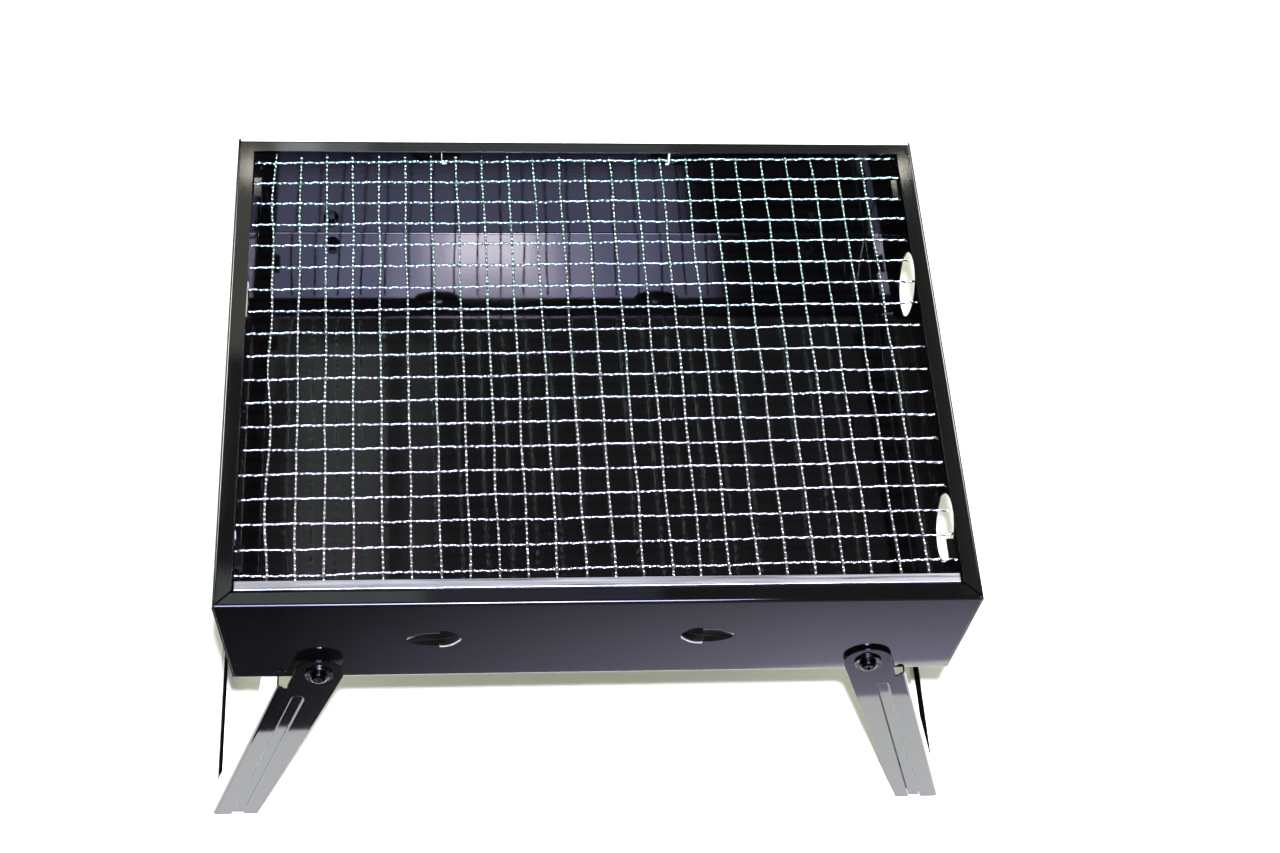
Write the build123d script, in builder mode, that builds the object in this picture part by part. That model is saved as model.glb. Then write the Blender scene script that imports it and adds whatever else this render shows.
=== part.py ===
from build123d import *
import os
from math import atan2, cos, radians, sin, tan

# Folding camp grill, in millimetres. The floor is z = 0 and the origin is on it, under the
# middle of the tray. X runs along the tray's length and the front faces -Y.

# Tray
TRAY_LENGTH = 350.0
TRAY_DEPTH = 277.0
HEIGHT = 210.0
TRAY_HEIGHT = 72.0
END_TAPER = 4.2
FRONT_TAPER = 3.0
SHEET = 0.8
BEND = 1.6
END_RIM = 8.5
LONG_RIM = 7.5
PAINT_GAP = 0.05

# End panels
VENT_RADIUS = 16.8
VENT_SPACING = 151.0
VENT_DROP = 40.5
TAB_WIDTH = 12.0
TAB_REACH = 12.0
TAB_SPACING = 220.0
SEAM_FLANGE = 9.0
SEAM_TOP_DROP = 18.0
SEAM_NOTCH = 5.0

# Lanced supports for a charcoal net, pressed into the front (-1) and back (1) walls. Each has
# the X of its cut, the way its outward bulge runs from there and its drop below the top.
LANCES = (
    (-1, -74.0, 1, 34.5),
    (-1, 48.0, -1, 34.5),
    (1, -71.0, 1, 11.2),
    (1, 48.0, -1, 11.2),
)
LANCE_HALF_HEIGHT = 6.5
LANCE_DEPTH = 3.0
LANCE_BELLY = 0.85
LANCE_RUNOUT = 0.3
LANCE_SHEAR = 0.1
BULGE_LENGTH = 10.5
PRESS_LENGTH = 15.5

# Leg frames
PIVOT_X = 130.0
PIVOT_DROP = 60.0
SPLAY = 16.5
HEAD_RADIUS = 11.5
NECK = 11.2
PLATE_OFFSET = 15.8
FOOT_INNER = 6.0
SHOULDER = 17.6
RELIEF_RADIUS = 1.3
NARROW_FRAME = 138.2
WIDE_FRAME = 140.35
CROSSBAR_END = 52.0
STRIP = 16.0
RAIL = 7.0
RAIL_LIFT = 1.6
RAIL_MARGIN = 22.0
LIP = 2.4
WINDOW_TOP_RADIUS = 18.0
BEAD_ALONG = 41.0
BEAD_WIDTH = 8.0
BEAD_HEIGHT = 1.2
BEAD_MARGIN = 19.0
GROOVE_START = 27.0
GROOVE_WIDTH = 6.4
GROOVE_DEPTH = 1.1
GROOVE_SLOPE = 38.0
GROOVE_OFFSET = 3.6

# Pivot fasteners, M4
SHANK = 2.0
LEG_BORE = 2.08
WALL_BORE = 2.05
SIDE_PLAY = 0.1
WASHER_RADIUS = 6.5
WASHER_THICKNESS = 1.0
SPACER_RADIUS = 5.0
SCREW_HEAD_RADIUS = 4.1
SCREW_HEAD_HEIGHT = 2.5
SCREW_HEAD_ROUND = 1.6
RECESS_LENGTH = 4.6
RECESS_WIDTH = 0.9
RECESS_DEPTH = 1.5
RECESS_TAPER = 12.0
NUT_ACROSS = 7.0
NUT_THICKNESS = 3.2
SHANK_END = 1.4

# Cooking grid
WIRE = 0.55
GRID_TILT = 0.9
GRID_TOP_DROP = 2.2
DEPTH_WIRES = 24
DEPTH_PITCH = 13.2
DEPTH_CENTRE = -2.2
CROSS_WIRES = 19
CROSS_PITCH = 13.66
CROSS_CENTRE = 4.35
GRID_LEFT = -166.1
GRID_RIGHT = 166.1
GRID_FRONT = -128.6
GRID_BACK = 130.2
BINDING_WIDTH = 4.6
BINDING_SHEET = 0.4
BINDING_PLAY = 0.1
BINDING_ROUND = 0.36
BINDING_LENGTH = 331.0

# Worked out from the dimensions above
HALF_LENGTH = TRAY_LENGTH / 2
HALF_DEPTH = TRAY_DEPTH / 2
TRAY_BOTTOM = HEIGHT - TRAY_HEIGHT
PIVOT_Z = HEIGHT - PIVOT_DROP
LONG_RIM_TOP = HEIGHT - SHEET - PAINT_GAP
TILT = radians(SPLAY)
WALL_LEAN = atan2(FRONT_TAPER, TRAY_HEIGHT)
END_LEAN = atan2(END_TAPER, TRAY_HEIGHT)
LANCE_RADIUS = (LANCE_HALF_HEIGHT**2 + LANCE_DEPTH**2) / (2 * LANCE_DEPTH)
DEPTH_WIRE_Z = HEIGHT - GRID_TOP_DROP - WIRE
CROSS_WIRE_Z = DEPTH_WIRE_Z - 2 * WIRE
TAB_TOP = CROSS_WIRE_Z - WIRE - PAINT_GAP
BEYOND = 400.0


def wall_y(z):
    """Distance from the middle to the outer face of the front or back wall at height z."""
    return HALF_DEPTH - FRONT_TAPER * (HEIGHT - z) / TRAY_HEIGHT


def end_x(z):
    """Distance from the middle to the outer face of an end panel at height z."""
    return HALF_LENGTH - END_TAPER * (HEIGHT - z) / TRAY_HEIGHT


def wall_normal(side):
    """Outward direction of the front (side -1) or back (side 1) wall."""
    return Vector(0, side * cos(WALL_LEAN), -sin(WALL_LEAN))


def wall_plane(side, z, depth):
    """Plane lying in the front or back wall at height z, depth below its outer face."""
    outer_point = Vector(0, side * wall_y(z), z)
    outward = wall_normal(side)
    return Plane(origin=outer_point - outward * depth, x_dir=(1, 0, 0), z_dir=outward)


def end_plane(side, depth):
    """Plane lying in the left (side -1) or right (side 1) end panel."""
    outward = Vector(side * cos(END_LEAN), 0, -sin(END_LEAN))
    corner = Vector(side * HALF_LENGTH, 0, HEIGHT)
    return Plane(origin=corner - outward * depth, x_dir=(0, 1, 0), z_dir=outward)


def finish(piece, name):
    """Labels a finished piece and writes it."""
    piece.part.label = name
    export_step(piece.part, f"parts/{name}.step")


def spindle(surface_point, along, normal, length, shrink):
    """Body of revolution whose skin swells out of a wall towards the lance's cut."""
    flush = LANCE_RADIUS - LANCE_DEPTH
    core = Plane(
        origin=surface_point - normal * flush,
        x_dir=along,
        z_dir=along.cross(normal),
    )
    tip = (length, flush - shrink - LANCE_RUNOUT)
    top = (0, LANCE_RADIUS - shrink)
    belly = (length / 2, flush - shrink + LANCE_DEPTH * LANCE_BELLY)
    with BuildPart() as body:
        with BuildSketch(core):
            with BuildLine():
                Polyline(top, (0, 0), (length, 0), tip)
                ThreePointArc(tip, belly, top)
            make_face()
        revolve(axis=Axis(core.origin, core.x_dir))
    return body.part


def lance_half(side, cut, along, outward):
    """Skin to add to a wall, and hollow to take from it, for one half of a lance."""
    face = wall_plane(side, cut.Z, 0 if outward else SHEET)
    middle = wall_plane(side, cut.Z, SHEET / 2)
    normal = wall_normal(side) * (1 if outward else -1)
    length = BULGE_LENGTH if outward else PRESS_LENGTH
    way = Vector(along, 0, 0)
    start = face.origin + Vector(cut.X, 0, 0)
    with BuildPart() as skin:
        add(spindle(start, way, normal, length, 0))
        split(bisect_by=middle, keep=Keep.TOP if outward else Keep.BOTTOM)
    return skin.part, spindle(start - way * LANCE_SHEAR, way, normal, length, SHEET)


def tray_outline(inset, top):
    """Outline, in Y and Z, of the tray's front, floor and back, inset from the outer face."""
    low = TRAY_BOTTOM + inset
    corners = [
        (-wall_y(low) + inset, low),
        (wall_y(low) - inset, low),
        (wall_y(top) - inset, top),
        (-wall_y(top) + inset, top),
    ]
    with BuildLine() as outline:
        Polyline(*corners, close=True)
    make_face(outline.edges())


def make_trough():
    """Front wall, floor and back wall folded from one sheet, with the two long rims."""
    halves = []
    for side, cut_x, bulge_way, drop in LANCES:
        cut = Vector(cut_x, 0, HEIGHT - drop)
        halves.append(lance_half(side, cut, bulge_way, True))
        halves.append(lance_half(side, cut, -bulge_way, False))
    with BuildPart() as trough:
        with BuildSketch(Plane.YZ) as section:
            tray_outline(0, LONG_RIM_TOP)
            fillet(section.vertices(), radius=BEND)
            offset(amount=-SHEET, mode=Mode.SUBTRACT)
            with Locations((0, LONG_RIM_TOP)):
                Rectangle(2 * (HALF_DEPTH - LONG_RIM), 3 * BEND, mode=Mode.SUBTRACT)
        extrude(amount=HALF_LENGTH, both=True)
        for side in (-1, 1):
            split(bisect_by=end_plane(side, SHEET + PAINT_GAP), keep=Keep.BOTTOM)
        add([skin for skin, hollow in halves])
        add([hollow for skin, hollow in halves], mode=Mode.SUBTRACT)
        with BuildSketch(Plane.XZ):
            with Locations((-PIVOT_X, PIVOT_Z), (PIVOT_X, PIVOT_Z)):
                Circle(WALL_BORE)
        extrude(amount=BEYOND, both=True, mode=Mode.SUBTRACT)
    finish(trough, "tray_trough")


def seam_flange(side):
    """Strip of an end panel folded inwards, that lies inside the trough and is welded to it."""
    with BuildPart() as flange:
        with BuildSketch(Plane.YZ) as section:
            tray_outline(SHEET + PAINT_GAP, HEIGHT - SEAM_TOP_DROP)
            fillet(section.vertices().group_by(Axis.Z)[0], radius=BEND)
            offset(amount=-SHEET, mode=Mode.SUBTRACT)
            with Locations((0, HEIGHT - SEAM_TOP_DROP)):
                Rectangle(TRAY_DEPTH, 3 * BEND, mode=Mode.SUBTRACT)
        extrude(amount=side * HALF_LENGTH)
        split(bisect_by=end_plane(side, SHEET / 2), keep=Keep.BOTTOM)
        split(bisect_by=end_plane(side, SHEET + SEAM_FLANGE), keep=Keep.TOP)
        notch_x = side * (end_x(TRAY_BOTTOM) - 2 * SHEET - SEAM_FLANGE)
        for end in (-1, 1):
            with Locations((notch_x, end * wall_y(TRAY_BOTTOM), TRAY_BOTTOM)):
                Box(2 * SEAM_FLANGE, 2 * SEAM_NOTCH, 2 * SEAM_NOTCH, mode=Mode.SUBTRACT)
    return flange.part


def make_end_panel(side, name):
    """End panel with its rim, two round vents, two tabs for the grid and the seam flange."""
    flange = seam_flange(side)
    with BuildPart() as panel:
        with BuildSketch(Plane.XZ) as section:
            low = TRAY_BOTTOM - BEND
            with BuildLine():
                top_corners = [(HALF_LENGTH, HEIGHT), (-HALF_LENGTH, HEIGHT)]
                Polyline((-end_x(low), low), (end_x(low), low), *top_corners, close=True)
            make_face()
            fillet(section.vertices().group_by(Axis.Y)[-1], radius=BEND)
            offset(amount=-SHEET, mode=Mode.SUBTRACT)
            Rectangle(2 * (HALF_LENGTH - END_RIM), BEYOND * 2, mode=Mode.SUBTRACT)
            with Locations((0, TRAY_BOTTOM)):
                Rectangle(BEYOND, BEYOND, align=(Align.CENTER, Align.MAX), mode=Mode.SUBTRACT)
            with Locations((0, HEIGHT)):
                far_half = (Align.MAX if side > 0 else Align.MIN, Align.CENTER)
                Rectangle(BEYOND, BEYOND * 2, align=far_half, mode=Mode.SUBTRACT)
        extrude(amount=HALF_DEPTH, both=True)
        with BuildSketch(Plane.YZ) as face_outline:
            tray_outline(0, HEIGHT)
            fillet(face_outline.vertices().group_by(Axis.Y)[0], radius=BEND)
        extrude(amount=HALF_LENGTH, both=True, mode=Mode.INTERSECT)
        with BuildSketch(Plane.XY.offset(HEIGHT - BEND)):
            corner = (side * (HALF_LENGTH - BEND), HALF_DEPTH - BEND)
            tip = (corner[0] - side * 2 * END_RIM, corner[1] - 2 * END_RIM)
            for end in (-1, 1):
                mitre = [(corner[0], end * corner[1]), (tip[0], end * tip[1])]
                beyond = [(tip[0], end * HALF_LENGTH), (corner[0], end * HALF_LENGTH)]
                with BuildLine():
                    Polyline(*mitre, *beyond, close=True)
                make_face()
        extrude(amount=2 * BEND, mode=Mode.SUBTRACT)
        with BuildSketch(Plane.YZ):
            vent_z = HEIGHT - VENT_DROP
            with Locations((-VENT_SPACING / 2, vent_z), (VENT_SPACING / 2, vent_z)):
                Circle(VENT_RADIUS)
        extrude(amount=side * HALF_LENGTH, mode=Mode.SUBTRACT)
        for end in (-1, 1):
            tab_y = end * TAB_SPACING / 2
            hanging = (Align.CENTER, Align.CENTER, Align.MAX)
            with Locations((side * end_x(TAB_TOP), tab_y, TAB_TOP - SHEET)):
                Box(4 * SHEET, TAB_WIDTH + SHEET, TAB_REACH, align=hanging, mode=Mode.SUBTRACT)
            with Locations((side * (end_x(TAB_TOP) - SHEET / 2 - TAB_REACH / 2), tab_y, TAB_TOP)):
                Box(TAB_REACH, TAB_WIDTH, SHEET, align=hanging)
        add(flange)
    finish(panel, name)


def leg_plane():
    """Plane whose x runs down the right leg from its pivot and whose y points outwards."""
    return Plane(
        origin=(PIVOT_X, 0, PIVOT_Z),
        x_dir=(sin(TILT), 0, -cos(TILT)),
        z_dir=(0, -1, 0),
    )


def foot_along(offset):
    """How far down the leg the floor is, at an offset outwards from the pivot's line."""
    return (PIVOT_Z + offset * sin(TILT)) / cos(TILT)


def leg_outline():
    """Side outline of a leg arm: round head, neck, shoulder and foot cut level."""
    Circle(HEAD_RADIUS)
    with BuildLine() as arm:
        Polyline(
            (0, -HEAD_RADIUS),
            (foot_along(-FOOT_INNER), -FOOT_INNER),
            (foot_along(PLATE_OFFSET), PLATE_OFFSET),
            (SHOULDER, PLATE_OFFSET),
            (SHOULDER, NECK),
            (0, NECK),
            close=True,
        )
    make_face(arm.edges())
    with Locations((SHOULDER, NECK + RELIEF_RADIUS / 2)):
        Circle(RELIEF_RADIUS, mode=Mode.SUBTRACT)


def rounded_hat(half_width, top, radius):
    """Tall shape with two round top corners, open ended below the leg."""
    with BuildLine() as hat:
        low = -2 * HEAD_RADIUS
        corners = [(-half_width, low), (-half_width, top), (half_width, top), (half_width, low)]
        FilletPolyline(*corners, radius=radius)
        Line(corners[-1], corners[0])
    make_face(hat.edges())


def make_leg(reach, side, name):
    """U-shaped leg frame: front and rear arm joined by an outer plate with a window."""
    side_view = leg_plane()
    down = side_view.x_dir
    outwards = side_view.y_dir
    across = Plane(origin=side_view.origin, x_dir=(0, 1, 0), z_dir=Vector(0, 1, 0).cross(outwards))
    along_leg = across.z_dir.dot(down)
    plate_face = Plane(
        origin=side_view.origin + outwards * PLATE_OFFSET,
        x_dir=down,
        z_dir=outwards,
    )
    foot = foot_along(PLATE_OFFSET)
    rail_edge = foot - RAIL_LIFT
    groove_end = foot + BEAD_WIDTH
    with BuildPart() as leg:
        with BuildSketch(across.offset(-2 * HEAD_RADIUS * along_leg)):
            rounded_hat(reach, PLATE_OFFSET, BEND)
        extrude(amount=(foot + 4 * HEAD_RADIUS) * along_leg)
        with BuildSketch(across.offset(-2 * HEAD_RADIUS * along_leg)):
            rounded_hat(reach - SHEET, PLATE_OFFSET - SHEET, BEND - SHEET)
        extrude(amount=(foot + 4 * HEAD_RADIUS) * along_leg, mode=Mode.SUBTRACT)
        with BuildSketch(side_view):
            leg_outline()
        extrude(amount=BEYOND, both=True, mode=Mode.INTERSECT)

        # Window, with the raised rail below it that keeps the frame on its four corners
        with BuildSketch(plate_face) as window:
            wide = reach - STRIP
            sill = rail_edge - RAIL
            with BuildLine():
                corners = [(CROSSBAR_END, -wide), (sill, -wide), (sill, wide), (CROSSBAR_END, wide)]
                Polyline(*corners, close=True)
            make_face()
            fillet(window.vertices().group_by(Axis.X)[0], radius=WINDOW_TOP_RADIUS)
        extrude(amount=-2 * SHEET, mode=Mode.SUBTRACT)
        with BuildSketch(plate_face):
            with Locations((rail_edge, 0)):
                rail_width = 2 * (reach - RAIL_MARGIN)
                Rectangle(BEAD_WIDTH, rail_width, align=(Align.MIN, Align.CENTER))
        extrude(amount=-2 * SHEET, mode=Mode.SUBTRACT)
        with BuildSketch(plate_face.offset(-SHEET)):
            with Locations((rail_edge, 0)):
                Rectangle(SHEET, rail_width, align=(Align.MAX, Align.CENTER))
        extrude(amount=-LIP)

        # Stiffening bead pressed outwards along the crossbar
        bead_length = 2 * (reach - BEAD_MARGIN)
        with BuildSketch(plate_face):
            with Locations((BEAD_ALONG, 0)):
                SlotOverall(bead_length, BEAD_WIDTH, rotation=90)
        extrude(amount=BEAD_HEIGHT, taper=GROOVE_SLOPE)
        with BuildSketch(plate_face.offset(-SHEET)):
            with Locations((BEAD_ALONG, 0)):
                SlotOverall(bead_length - SHEET, BEAD_WIDTH - SHEET, rotation=90)
        extrude(amount=BEAD_HEIGHT, taper=GROOVE_SLOPE, mode=Mode.SUBTRACT)

        # Groove pressed inwards down each arm, open at the foot
        for end in (-1, 1):
            outer_face = Plane(
                origin=side_view.origin + Vector(0, end * reach, 0),
                x_dir=down,
                z_dir=(0, end, 0),
            )
            groove_middle = (
                (GROOVE_START + groove_end) / 2,
                GROOVE_OFFSET * outer_face.y_dir.dot(outwards),
            )
            groove_length = groove_end - GROOVE_START
            with BuildSketch(outer_face.offset(-SHEET)):
                with Locations(groove_middle):
                    SlotCenterToCenter(groove_length, GROOVE_WIDTH + SHEET)
            extrude(amount=-GROOVE_DEPTH, taper=GROOVE_SLOPE)
            with BuildSketch(outer_face):
                with Locations(groove_middle):
                    SlotCenterToCenter(groove_length, GROOVE_WIDTH)
            extrude(amount=-GROOVE_DEPTH, taper=GROOVE_SLOPE, mode=Mode.SUBTRACT)
        split(bisect_by=Plane.XY, keep=Keep.TOP)
        with BuildSketch(Plane.XZ):
            with Locations((PIVOT_X, PIVOT_Z)):
                Circle(LEG_BORE)
        extrude(amount=BEYOND, both=True, mode=Mode.SUBTRACT)
        if side < 0:
            mirror(about=Plane.YZ, mode=Mode.REPLACE)
    finish(leg, name)


def pivot_place(side, end):
    """Plane on a pivot's axis at the middle of the tray, with z pointing out of the wall."""
    return Plane(origin=(side * PIVOT_X, 0, PIVOT_Z), x_dir=(1, 0, 0), z_dir=(0, end, 0))


def make_pivot(side, end, reach, place_name):
    """One leg pivot: machine screw, washer under its head, spacer and nut."""
    axis = pivot_place(side, end)
    washer_face = reach + SIDE_PLAY
    head_face = washer_face + WASHER_THICKNESS
    inner_wall = wall_plane(end, PIVOT_Z, SHEET)
    nut_face = wall_y(PIVOT_Z) - SHEET
    shank_stop = nut_face - NUT_THICKNESS - SHANK_END
    with BuildPart() as screw:
        with BuildSketch(axis.offset(shank_stop)):
            Circle(SHANK)
        extrude(amount=head_face - shank_stop)
        with BuildSketch(axis.offset(head_face)):
            Circle(SCREW_HEAD_RADIUS)
        extrude(amount=SCREW_HEAD_HEIGHT)
        outward = Axis(axis.origin, axis.z_dir)
        fillet(screw.edges().sort_by(outward)[-1], radius=SCREW_HEAD_ROUND)
        with BuildSketch(axis.offset(head_face + SCREW_HEAD_HEIGHT)):
            Rectangle(RECESS_LENGTH, RECESS_WIDTH)
            Rectangle(RECESS_WIDTH, RECESS_LENGTH)
        extrude(amount=-RECESS_DEPTH, taper=RECESS_TAPER, mode=Mode.SUBTRACT)
    finish(screw, f"{place_name}_pivot_screw")

    with BuildPart() as washer:
        with BuildSketch(axis.offset(washer_face)):
            Circle(WASHER_RADIUS)
            Circle(WALL_BORE, mode=Mode.SUBTRACT)
        extrude(amount=WASHER_THICKNESS)
    finish(washer, f"{place_name}_head_washer")

    with BuildPart() as spacer:
        with BuildSketch(axis.offset(nut_face)):
            Circle(SPACER_RADIUS)
            Circle(WALL_BORE, mode=Mode.SUBTRACT)
        extrude(amount=reach - SHEET - SIDE_PLAY - nut_face)
        split(bisect_by=wall_plane(end, PIVOT_Z, 0), keep=Keep.TOP)
    finish(spacer, f"{place_name}_wall_spacer")

    with BuildPart() as nut:
        with BuildSketch(axis.offset(nut_face + SHEET / 2)):
            RegularPolygon(NUT_ACROSS / 2, 6, major_radius=False)
            Circle(SHANK, mode=Mode.SUBTRACT)
        extrude(amount=-NUT_THICKNESS)
        split(bisect_by=inner_wall, keep=Keep.BOTTOM)
    finish(nut, f"{place_name}_pivot_nut")


def grid_point(along, depth):
    """Where a point of the square mesh lies once the mesh is turned by its small tilt."""
    turn = radians(GRID_TILT)
    return along * cos(turn) - depth * sin(turn), along * sin(turn) + depth * cos(turn)


def make_wires(ends, name):
    """A layer of straight round wires, each between two points."""
    with BuildPart() as layer:
        for start, stop in ends:
            run = Vector(*stop) - Vector(*start)
            with BuildSketch(Plane(origin=start, z_dir=run)):
                Circle(WIRE)
            extrude(amount=run.length)
    finish(layer, name)


def make_grid():
    """Cooking grid: wires running back, wires running across and a folded front binding."""
    slope = tan(radians(GRID_TILT))
    wires = []
    first = DEPTH_CENTRE - DEPTH_PITCH * (DEPTH_WIRES - 1) / 2
    for i in range(DEPTH_WIRES):
        x, y = grid_point(first + i * DEPTH_PITCH, 0)
        front_x = x - (GRID_FRONT - y) * slope
        back_x = x - (GRID_BACK - y) * slope
        wires.append(((front_x, GRID_FRONT, DEPTH_WIRE_Z), (back_x, GRID_BACK, DEPTH_WIRE_Z)))
    make_wires(wires, "grid_depth_wires")

    wires = []
    first = CROSS_CENTRE - CROSS_PITCH * (CROSS_WIRES - 1) / 2
    for i in range(CROSS_WIRES):
        x, y = grid_point(0, first + i * CROSS_PITCH)
        left_y = y + (GRID_LEFT - x) * slope
        right_y = y + (GRID_RIGHT - x) * slope
        wires.append(((GRID_LEFT, left_y, CROSS_WIRE_Z), (GRID_RIGHT, right_y, CROSS_WIRE_Z)))
    make_wires(wires, "grid_cross_wires")

    with BuildPart() as binding:
        outside = 2 * (WIRE + BINDING_PLAY + BINDING_SHEET)
        front = GRID_FRONT - BINDING_PLAY - BINDING_SHEET
        with BuildSketch(Plane.YZ.offset(-BINDING_LENGTH / 2)):
            with Locations((front, DEPTH_WIRE_Z)):
                Rectangle(BINDING_WIDTH, outside, align=(Align.MIN, Align.CENTER))
            with Locations((front + BINDING_SHEET, DEPTH_WIRE_Z)):
                inside = outside - 2 * BINDING_SHEET
                opening = (Align.MIN, Align.CENTER)
                Rectangle(BINDING_WIDTH, inside, align=opening, mode=Mode.SUBTRACT)
        extrude(amount=BINDING_LENGTH)
        rounded = binding.edges().filter_by(Axis.X).group_by(Axis.Y)[0]
        fillet(rounded, radius=BINDING_ROUND)
    finish(binding, "grid_front_binding")


os.makedirs("parts", exist_ok=True)
make_trough()
for side, hand in ((-1, "left"), (1, "right")):
    make_end_panel(side, f"{hand}_end_panel")
    reach = WIDE_FRAME if side < 0 else NARROW_FRAME
    make_leg(reach, side, f"{hand}_leg_frame")
    for end, position in ((-1, "front"), (1, "rear")):
        make_pivot(side, end, reach, f"{hand}_{position}")
make_grid()
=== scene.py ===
import math
from collections import namedtuple

import bpy
import numpy as np
from mathutils import Matrix, Vector


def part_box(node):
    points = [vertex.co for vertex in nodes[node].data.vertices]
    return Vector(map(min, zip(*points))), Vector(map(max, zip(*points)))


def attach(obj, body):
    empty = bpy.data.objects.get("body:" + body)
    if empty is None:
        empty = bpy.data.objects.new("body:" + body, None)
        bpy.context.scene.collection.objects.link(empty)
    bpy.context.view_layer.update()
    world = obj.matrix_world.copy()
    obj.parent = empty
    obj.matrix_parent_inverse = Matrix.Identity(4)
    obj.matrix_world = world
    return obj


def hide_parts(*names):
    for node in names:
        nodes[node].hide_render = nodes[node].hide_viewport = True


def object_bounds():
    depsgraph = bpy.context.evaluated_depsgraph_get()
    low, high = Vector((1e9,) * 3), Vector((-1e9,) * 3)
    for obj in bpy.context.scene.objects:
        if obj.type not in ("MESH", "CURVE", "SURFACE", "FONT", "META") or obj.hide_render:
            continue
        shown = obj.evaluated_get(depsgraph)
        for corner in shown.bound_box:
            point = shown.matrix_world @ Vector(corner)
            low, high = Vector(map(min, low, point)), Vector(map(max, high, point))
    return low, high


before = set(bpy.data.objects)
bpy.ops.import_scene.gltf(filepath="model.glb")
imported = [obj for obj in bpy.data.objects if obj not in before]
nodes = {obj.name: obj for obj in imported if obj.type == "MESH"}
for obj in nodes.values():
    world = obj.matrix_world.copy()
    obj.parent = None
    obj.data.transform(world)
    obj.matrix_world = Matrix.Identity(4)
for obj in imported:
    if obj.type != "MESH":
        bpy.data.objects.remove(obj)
cad_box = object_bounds()

# Everything is in metres, in the CAD model's frame.
MM = 0.001
HANDS = ("left", "right")
POSITIONS = ("front", "rear")

# Camera: a short telephoto above the front of the grill, turned a little to its right
CAMERA_PLACE = (-0.0765, -0.6558, 1.0978)
CAMERA_PITCH = 55.02
CAMERA_YAW = 9.10
CAMERA_ROLL = 7.16
CAMERA_LENS = 64.07
SENSOR_WIDTH = 36.0

# Grid wires
CRIMPS_PER_MESH = 5
CRIMP_DEPTH = 0.50
WIRE_SIDES = 10
STEPS_PER_CRIMP = 7
WIRE_WANDER = 0.22 * MM
WANDER_LENGTH = 55 * MM
WANDER_WAVES = (1.0, 0.55, 0.3)
WANDER_STRETCH = 0.6
LOOSE_WIRE_WANDER = 3.2
WIRE_SEED = 11
LONG_EDGE = 0.5
UPPER, LOWER = 1, -1
Weave = namedtuple("Weave", "middle_z radius lift material")

# Sockets of a Mix node that mixes colours
MIX_FIRST, MIX_SECOND, MIX_RESULT = 6, 7, 2

# Key light: a small lamp just above the camera, so shadows hide behind what casts them
KEY_PLACE = (-0.060, -0.623, 1.180)
KEY_POWER = 66.0
KEY_SIZE = 0.05
KEY_COLOUR = (0.93, 0.95, 1.0)

# What the gloss reflects: soft panels that face down, each with its centre, size, radiance
# and colour. The halos stand round the key light, and the boards over the back of the grill.
CEILING = 2.4
WHITE = (1.0, 1.0, 1.0)
LAVENDER = (0.64, 0.66, 1.12)
OLIVE = (0.97, 1.0, 0.80)
GREEN_GREY = (0.88, 1.0, 0.97)
SOFT_PANELS = (
    ("sky", (-0.09, -1.50, CEILING), (1.00, 1.50), 27.0, LAVENDER),
    ("halo_wide", (0.0, -0.95, 1.60), (0.44, 0.60), 14.0, LAVENDER),
    ("halo", (-0.006, -0.72, 1.35), (0.24, 0.26), 24.0, (0.88, 0.80, 1.0)),
    ("halo_core", (-0.010, -0.66, 1.28), (0.15, 0.17), 45.0, (1.0, 0.90, 1.0)),
    ("halo_heart", (-0.010, -0.65, 1.26), (0.09, 0.11), 90.0, (1.0, 0.94, 1.0)),
    ("left_wall_glow", (-2.0, 2.05, CEILING), (0.8, 0.8), 40.0, WHITE),
    ("right_wall_glow", (2.0, 2.05, CEILING), (0.8, 0.8), 40.0, WHITE),
    ("door", (-0.235, 1.50, CEILING), (0.15, 0.50), 0.55, GREEN_GREY),
    ("door_edge", (-0.10, 1.50, CEILING), (0.05, 0.50), 0.28, GREEN_GREY),
    ("side_board", (-0.53, 1.92, CEILING), (0.34, 0.60), 0.95, OLIVE),
    ("side_board_near", (-0.56, 1.45, CEILING), (0.29, 0.30), 0.55, OLIVE),
    ("back_board_left", (-0.31, 2.07, CEILING), (0.08, 0.30), 4.2, GREEN_GREY),
    ("back_board_fade", (-0.23, 2.07, CEILING), (0.08, 0.30), 2.0, GREEN_GREY),
    ("back_board", (0.02, 2.07, CEILING), (0.66, 0.30), 0.80, GREEN_GREY),
    ("back_board_right", (0.60, 2.07, CEILING), (0.50, 0.30), 0.30, GREEN_GREY),
    ("front_board", (-0.26, 1.15, CEILING), (0.34, 0.10), 1.15, GREEN_GREY),
    ("front_board_right", (0.10, 1.15, CEILING), (0.36, 0.10), 0.42, LAVENDER),
    ("right_board", (0.90, 1.60, CEILING), (0.26, 1.10), 0.20, OLIVE),
)
LAMP_SPOTS = ((-0.39, 2.01), (0.09, 1.886), (0.758, 2.013))
LAMP_HEIGHT = CEILING - 0.02
LAMP_SIZE = (0.035, 0.03)
LAMP_RADIANCE = 22.0
LAMP_COLOUR = (1.0, 0.93, 0.78)

# World
SURROUND = WHITE
FILL = (0.88, 0.90, 0.70)
GLOSS_DARK = (0.10, 0.10, 0.11)

# Table, and the dark card lying in front that only the gloss sees. The card fades from its
# near edge forwards, and from right to left.
TABLE_HALF = 4.0
TABLE_Z = -0.1 * MM
CARD_SIZE = 2.0
CARD_EDGE_Y = -0.193
CARD_Z = 0.5 * MM
CARD_TURN = math.radians(-1.9)
CARD_FADE = 0.06
CARD_EDGE_COLOUR = (1.25, 1.17, 1.60)
CARD_COLOUR = (0.30, 0.27, 0.33)
CARD_LEFT_X, CARD_RIGHT_X = -0.16, 0.14
CARD_LEFT_SHARE = 0.06


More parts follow.
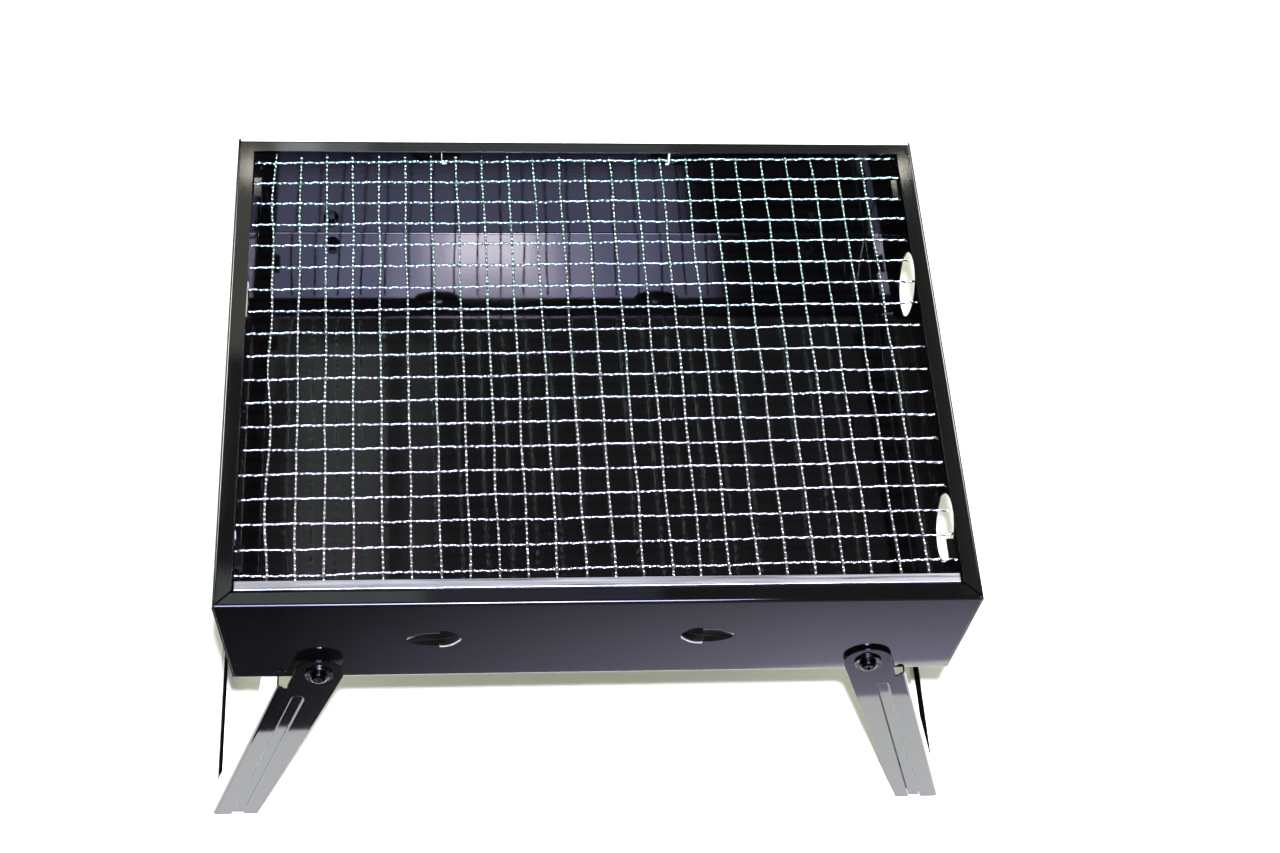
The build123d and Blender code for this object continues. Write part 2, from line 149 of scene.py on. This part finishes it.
def wire_runs(node):
    """Centre lines of the straight wires in a CAD layer, found from its long mesh edges."""
    mesh = node.data
    ends = []
    for edge in mesh.edges:
        a, b = (np.array(mesh.vertices[i].co) for i in edge.vertices)
        if np.linalg.norm(b - a) > LONG_EDGE * max(node.dimensions):
            ends.append((a, b) if sum(a) < sum(b) else (b, a))
    along = sum(b - a for a, b in ends)
    along /= np.linalg.norm(along)
    aside = np.cross(along, (0, 0, 1))
    ends.sort(key=lambda pair: float(aside @ pair[0]))
    groups = [[ends[0]]]
    for before, pair in zip(ends, ends[1:]):
        if aside @ (pair[0] - before[0]) > node.dimensions.z:
            groups.append([])
        groups[-1].append(pair)
    runs = []
    for group in groups:
        points = np.array(group)
        runs.append((points.min(axis=0) + points.max(axis=0)) / 2)
    return runs


def smooth_wander(length, count, rng):
    """Gentle sideways wandering of a long wire: a sum of a few waves with drawn phases."""
    s = np.linspace(0, length, count)
    wander = np.zeros(count)
    for wave in WANDER_WAVES:
        phase = rng.uniform(0, 2 * math.pi)
        wave_length = WANDER_LENGTH * (WANDER_STRETCH + wave)
        wander += wave * np.sin(2 * math.pi * s / wave_length + phase)
    return wander


def tube(points, radius, sides):
    """Vertices and faces of a round tube with closed ends along a row of points."""
    tangents = np.gradient(points, axis=0)
    tangents /= np.linalg.norm(tangents, axis=1)[:, None]
    aside = np.cross(tangents, (0, 0, 1))
    aside /= np.linalg.norm(aside, axis=1)[:, None]
    above = np.cross(aside, tangents)
    turns = np.arange(sides) * 2 * math.pi / sides
    across, upward = np.cos(turns)[None, :, None], np.sin(turns)[None, :, None]
    ring = aside[:, None] * across + above[:, None] * upward
    vertices = (points[:, None] + radius * ring).reshape(-1, 3)
    count = len(points)
    i = np.arange(count - 1)[:, None] * sides
    j = np.arange(sides)[None, :]
    k = (j + 1) % sides
    quads = np.stack([i + j, i + sides + j, i + sides + k, i + k], axis=-1).reshape(-1, 4)
    faces = quads.tolist()
    faces.append(list(range(sides)))
    faces.append(list(range((count - 1) * sides, count * sides))[::-1])
    return vertices, faces


def mesh_object(name, vertices, faces, material):
    """A smooth-shaded mesh object with one material."""
    mesh = bpy.data.meshes.new(name)
    mesh.from_pydata(vertices.tolist(), [], faces)
    mesh.validate()
    mesh.shade_smooth()
    mesh.materials.append(material)
    made = bpy.data.objects.new(name, mesh)
    bpy.context.scene.collection.objects.link(made)
    return made


def crimped_layer(runs, crossing, weave, level, direction):
    """Woven, crimped wires that stand for one straight CAD layer."""
    rng = np.random.default_rng(WIRE_SEED + level)
    pitch = np.linalg.norm(np.cross(crossing[1][0] - crossing[0][0], unit(crossing[0])))
    step = pitch / CRIMPS_PER_MESH / STEPS_PER_CRIMP
    for i, run in enumerate(runs):
        along = unit(run)
        aside = np.cross(along, (0, 0, 1))
        length = float(np.linalg.norm(run[1] - run[0]))
        count = int(length / step) + 1
        s = np.linspace(0, length, count)
        first_crossing = float(along @ (crossing[0][0] - run[0]))
        phase = math.pi * (s - first_crossing) / pitch
        crimps = np.cos(CRIMPS_PER_MESH * phase)
        rise = (1 - CRIMP_DEPTH) * np.cos(phase) + CRIMP_DEPTH * crimps
        points = run[0] + s[:, None] * along
        # The leftmost wire is bent more than the others.
        looseness = LOOSE_WIRE_WANDER if i == 0 and level == UPPER else 1.0
        sideways = looseness * WIRE_WANDER * smooth_wander(length, count, rng)
        points += sideways[:, None] * aside
        points[:, 2] = weave.middle_z + level * (-1) ** i * weave.lift * rise
        name = f"crimped_{direction}_wire_{i + 1:02d}"
        wire = mesh_object(name, *tube(points, weave.radius, WIRE_SIDES), weave.material)
        # The crosswise wires' highlights would show too bright in the tray's floor.
        wire.visible_glossy = level == UPPER
        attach(wire, "cooking_grid")
        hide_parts(f"grid_{direction}_wires")


def unit(run):
    """Unit direction of a wire's run."""
    return (run[1] - run[0]) / np.linalg.norm(run[1] - run[0])


class NodeTree:
    """Small helper that adds nodes to a tree and links them."""

    def __init__(self, tree):
        self.tree = tree

    def add(self, kind, **settings):
        """Adds a node, with its settings."""
        node = self.tree.nodes.new(kind)
        for key, value in settings.items():
            setattr(node, key, value)
        return node

    def link(self, source, target):
        """Links an output to an input."""
        self.tree.links.new(source, target)

    def blend(self, factor, first, second):
        """Mix of two colours, each a tuple or an output."""
        node = self.add("ShaderNodeMix", data_type="RGBA")
        self.link(factor, node.inputs["Factor"])
        for key, colour in ((MIX_FIRST, first), (MIX_SECOND, second)):
            if isinstance(colour, tuple):
                node.inputs[key].default_value = (*colour, 1)
            else:
                self.link(colour, node.inputs[key])
        return node.outputs[MIX_RESULT]


class Shader(NodeTree):
    """A new material and what its nodes are made with."""

    def __init__(self, name):
        self.material = bpy.data.materials.new(name)
        self.material.use_nodes = True
        super().__init__(self.material.node_tree)
        self.surface = self.tree.nodes["Principled BSDF"]
        self.place = self.add("ShaderNodeTexCoord").outputs["Object"]

    def place_parts(self):
        """X, Y and Z of the point on the piece."""
        node = self.add("ShaderNodeSeparateXYZ")
        self.link(self.place, node.inputs["Vector"])
        return node.outputs

    def noise(self, scale, detail=2.0, stretch=None):
        """Noise over the piece, features about 1/scale metres across."""
        node = self.add("ShaderNodeTexNoise")
        node.inputs["Scale"].default_value = scale
        node.inputs["Detail"].default_value = detail
        place = self.place
        if stretch:
            mapping = self.add("ShaderNodeMapping")
            mapping.inputs["Scale"].default_value = stretch
            self.link(place, mapping.inputs["Vector"])
            place = mapping.outputs["Vector"]
        self.link(place, node.inputs["Vector"])
        return node.outputs["Fac"]

    def remap(self, value, low, high, new_low, new_high):
        """Linear change of range, clamped."""
        node = self.add("ShaderNodeMapRange")
        ends = (("From Min", low), ("From Max", high), ("To Min", new_low), ("To Max", new_high))
        for key, number in ends:
            node.inputs[key].default_value = number
        self.link(value, node.inputs["Value"])
        return node.outputs["Result"]

    def specks(self, scale, size, share):
        """Sparse round specks: 1 on a speck and 0 elsewhere."""
        cells = self.add("ShaderNodeTexVoronoi")
        cells.inputs["Scale"].default_value = scale
        self.link(self.place, cells.inputs["Vector"])
        near = self.remap(cells.outputs["Distance"], size * 0.7, size, 1, 0)
        split = self.add("ShaderNodeSeparateColor")
        self.link(cells.outputs["Color"], split.inputs["Color"])
        chosen = self.remap(split.outputs["Red"], 1 - share, 1 - share * 0.7, 0, 1)
        both = self.add("ShaderNodeMath", operation="MULTIPLY")
        self.link(near, both.inputs[0])
        self.link(chosen, both.inputs[1])
        return both.outputs["Value"]

    def bump(self, height, distance, strength, under=None):
        """Bump from a height, on top of another normal."""
        node = self.add("ShaderNodeBump")
        node.inputs["Distance"].default_value = distance
        node.inputs["Strength"].default_value = strength
        self.link(height, node.inputs["Height"])
        if under:
            self.link(under, node.inputs["Normal"])
        return node.outputs["Normal"]

    def rounded(self, radius):
        """Normal that rounds sharp edges, as paint does."""
        node = self.add("ShaderNodeBevel", samples=4)
        node.inputs["Radius"].default_value = radius
        return node.outputs["Normal"]

    def finish(self, colour, roughness, normal):
        """Connects the surface."""
        self.link(colour, self.surface.inputs["Base Color"])
        self.link(roughness, self.surface.inputs["Roughness"])
        self.link(normal, self.surface.inputs["Normal"])
        return self.material


def black_gloss_paint():
    """Glossy black stove paint on sheet steel: faint orange peel, dust and hazy patches."""
    s = Shader("black_gloss_paint")
    base = s.blend(s.noise(35), (0.0006, 0.0006, 0.0007), (0.0014, 0.0013, 0.0015))
    colour = s.blend(s.specks(420, 0.10, 0.02), base, (0.05, 0.05, 0.045))
    haze = s.remap(s.noise(14, 4), 0.35, 0.75, 0.03, 0.065)
    peel = s.bump(s.noise(1100, 1), 0.05 * MM, 0.10, s.rounded(0.25 * MM))
    waves = s.bump(s.noise(16, 1), 1.0 * MM, 0.025, peel)
    s.surface.inputs["IOR"].default_value = 1.52
    return s.finish(colour, haze, waves)


def plated_wire():
    """Bright zinc plating with a faint cool and pink passivation tint along the grid."""
    s = Shader("plated_wire")
    low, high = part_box("grid_depth_wires")
    along = s.remap(s.place_parts()["Y"], low.y, high.y, 0, 1)
    tint = s.blend(along, (0.97, 0.80, 0.94), (0.58, 0.96, 0.86))
    dullness = s.remap(s.noise(260, 3), 0.45, 0.75, 0, 0.55)
    colour = s.blend(dullness, tint, (0.46, 0.50, 0.47))
    rough = s.remap(s.noise(900, 2), 0.3, 0.7, 0.13, 0.24)
    s.surface.inputs["Metallic"].default_value = 1.0
    return s.finish(colour, rough, s.bump(s.noise(2600, 2), 0.04 * MM, 0.25))


def plated_strip():
    """The same plating on the folded front strip, with rolling marks along it."""
    s = Shader("plated_strip")
    marks = s.noise(900, 3, (0.02, 1.0, 1.0))
    colour = s.blend(s.noise(60, 3), (0.93, 0.92, 0.95), (0.74, 0.75, 0.74))
    rough = s.remap(marks, 0.3, 0.7, 0.24, 0.46)
    s.surface.inputs["Metallic"].default_value = 1.0
    return s.finish(colour, rough, s.bump(marks, 0.05 * MM, 0.3, s.rounded(0.12 * MM)))


def worn_steel(name, dark, bright, share):
    """Plated steel whose coat is worn to bright metal in patches, with fine scratches."""
    s = Shader(name)
    scratches = s.noise(1500, 2, (1.0, 1.0, 0.08))
    wear = s.remap(s.noise(420, 4), 1 - share, 1.02 - share * 0.55, 0, 1)
    colour = s.blend(wear, dark, bright)
    rough = s.remap(scratches, 0.3, 0.7, 0.16, 0.34)
    s.surface.inputs["Metallic"].default_value = 1.0
    return s.finish(colour, rough, s.bump(scratches, 0.04 * MM, 0.3, s.rounded(0.18 * MM)))


def spacer_black():
    """Dull black coating on the spacer rings behind the legs."""
    s = Shader("spacer_black")
    colour = s.blend(s.noise(300, 3), (0.006, 0.006, 0.007), (0.016, 0.016, 0.017))
    rough = s.remap(s.noise(700, 2), 0.3, 0.7, 0.35, 0.55)
    normal = s.bump(s.noise(1800, 2), 0.03 * MM, 0.3, s.rounded(0.15 * MM))
    return s.finish(colour, rough, normal)


def give(node_name, material):
    """Gives a CAD node its finish, in every material slot it has."""
    piece = nodes[node_name]
    piece.data.materials.clear()
    piece.data.materials.append(material)


def dress_cad():
    """Finishes of the CAD nodes that show."""
    paint = black_gloss_paint()
    give("tray_trough", paint)
    give("grid_front_binding", plated_strip())
    screw = worn_steel("screw_black_zinc", (0.012, 0.012, 0.014), (0.12, 0.12, 0.13), 0.30)
    washer = worn_steel("washer_black_zinc", (0.05, 0.05, 0.055), (0.50, 0.50, 0.52), 0.50)
    nut = worn_steel("nut_zinc", (0.030, 0.030, 0.032), (0.11, 0.11, 0.11), 0.4)
    ring = spacer_black()
    for hand in HANDS:
        give(f"{hand}_end_panel", paint)
        give(f"{hand}_leg_frame", paint)
        for position in POSITIONS:
            place = f"{hand}_{position}"
            give(f"{place}_pivot_screw", screw)
            give(f"{place}_head_washer", washer)
            give(f"{place}_pivot_nut", nut)
            give(f"{place}_wall_spacer", ring)


def weave_grid():
    """Replaces the grid's two straight layers by woven, crimped wires."""
    back_to_front = wire_runs(nodes["grid_depth_wires"])
    side_to_side = wire_runs(nodes["grid_cross_wires"])
    upper_low, upper_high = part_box("grid_depth_wires")
    lower_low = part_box("grid_cross_wires")[0]
    radius = (upper_high.z - upper_low.z) / 2
    middle_z = (upper_high.z + lower_low.z) / 2
    lift = (upper_high.z - lower_low.z) / 2 - radius
    weave = Weave(middle_z, radius, lift, plated_wire())
    crimped_layer(back_to_front, side_to_side, weave, UPPER, "depth")
    crimped_layer(side_to_side, back_to_front, weave, LOWER, "cross")


def make_camera():
    """Camera at the viewing angle of a person standing in front of the grill."""
    pitch, yaw, roll = (math.radians(a) for a in (CAMERA_PITCH, CAMERA_YAW, CAMERA_ROLL))
    forward = Vector(
        (math.sin(yaw) * math.cos(pitch), math.cos(yaw) * math.cos(pitch), -math.sin(pitch))
    )
    level = Vector((math.cos(yaw), -math.sin(yaw), 0))
    upward = level.cross(forward)
    right = math.cos(roll) * level + math.sin(roll) * upward
    up = -math.sin(roll) * level + math.cos(roll) * upward
    data = bpy.data.cameras.new("camera")
    data.sensor_width = SENSOR_WIDTH
    data.lens = CAMERA_LENS
    camera = bpy.data.objects.new("camera", data)
    axes = np.eye(4)
    for column, axis in enumerate((right, up, -forward, Vector(CAMERA_PLACE))):
        axes[:3, column] = axis
    camera.matrix_world = Matrix(axes.tolist())
    bpy.context.scene.collection.objects.link(camera)
    bpy.context.scene.camera = camera


def softbox(name, centre, size, radiance, colour):
    """A soft panel that faces down and lights only the gloss, unseen by the camera."""
    light = bpy.data.lights.new(name, "AREA")
    light.shape = "RECTANGLE"
    light.size, light.size_y = size
    light.color = colour
    light.energy = radiance * math.pi * size[0] * size[1]
    panel = bpy.data.objects.new(name, light)
    panel.location = centre
    panel.visible_camera = False
    panel.visible_diffuse = False
    bpy.context.scene.collection.objects.link(panel)


def make_key():
    """Lights the table and casts the shadows. In the gloss, the halos stand for it."""
    key = bpy.data.lights.new("key", "AREA")
    key.shape = "DISK"
    key.size = KEY_SIZE
    key.color = KEY_COLOUR
    key.energy = KEY_POWER
    lamp = bpy.data.objects.new("key", key)
    lamp.location = KEY_PLACE
    lamp.rotation_mode = "QUATERNION"
    aim = Vector((0, 0, cad_box[1].z / 2)) - Vector(KEY_PLACE)
    lamp.rotation_quaternion = aim.to_track_quat("-Z", "Y")
    lamp.visible_camera = False
    lamp.visible_glossy = False
    bpy.context.scene.collection.objects.link(lamp)


def make_lights():
    """The key light, and what the gloss reflects of the room."""
    make_key()
    for panel in SOFT_PANELS:
        softbox(*panel)
    for i, spot in enumerate(LAMP_SPOTS):
        softbox(f"lamp_{i + 1}", (*spot, LAMP_HEIGHT), LAMP_SIZE, LAMP_RADIANCE, LAMP_COLOUR)


def make_world():
    """White surround for the camera, soft fill for the surfaces and dark for the gloss."""
    world = bpy.data.worlds.new("studio")
    world.use_nodes = True
    s = NodeTree(world.node_tree)
    ray = s.add("ShaderNodeLightPath").outputs
    seen = s.blend(ray["Is Camera Ray"], FILL, SURROUND)
    colour = s.blend(ray["Is Glossy Ray"], seen, GLOSS_DARK)
    s.link(colour, s.tree.nodes["Background"].inputs["Color"])
    bpy.context.scene.world = world


def make_table():
    """Pale table under the grill."""
    s = Shader("pale_table")
    colour = s.blend(s.noise(9, 3), (0.83, 0.83, 0.84), (0.87, 0.87, 0.87))
    rough = s.remap(s.noise(40), 0.3, 0.7, 0.5, 0.6)
    s.surface.inputs["Specular IOR Level"].default_value = 0.15
    finish = s.finish(colour, rough, s.bump(s.noise(300), 0.02 * MM, 0.1))
    signs = ((-1, -1), (1, -1), (1, 1), (-1, 1))
    corners = np.array([(a * TABLE_HALF, b * TABLE_HALF, 0) for a, b in signs])
    table = mesh_object("table", corners, [[0, 1, 2, 3]], finish)
    table.location.z = TABLE_Z


def make_dark_card():
    """Dark card in front of the grill, which the front wall and the legs reflect."""
    s = Shader("dark_card")
    s.tree.nodes.remove(s.surface)
    glow = s.add("ShaderNodeEmission")
    place = s.place_parts()
    fade = s.remap(place["Y"], 0, -CARD_FADE, 0, 1)
    share = s.remap(place["X"], CARD_LEFT_X, CARD_RIGHT_X, CARD_LEFT_SHARE, 1)
    s.link(s.blend(fade, CARD_EDGE_COLOUR, CARD_COLOUR), glow.inputs["Color"])
    s.link(share, glow.inputs["Strength"])
    s.link(glow.outputs["Emission"], s.tree.nodes["Material Output"].inputs["Surface"])
    signs = ((-1, -1), (1, -1), (1, 0), (-1, 0))
    corners = [(a * CARD_SIZE, b * CARD_SIZE, 0) for a, b in signs]
    card = mesh_object("dark_card", np.array(corners), [[0, 1, 2, 3]], s.material)
    card.location = (0.0, CARD_EDGE_Y, CARD_Z)
    card.rotation_euler.z = CARD_TURN
    card.visible_camera = False
    card.visible_diffuse = False
    card.visible_shadow = False


make_camera()
dress_cad()
weave_grid()
make_world()
make_table()
make_dark_card()
make_lights()
bpy.context.scene.view_settings.view_transform = "Standard"
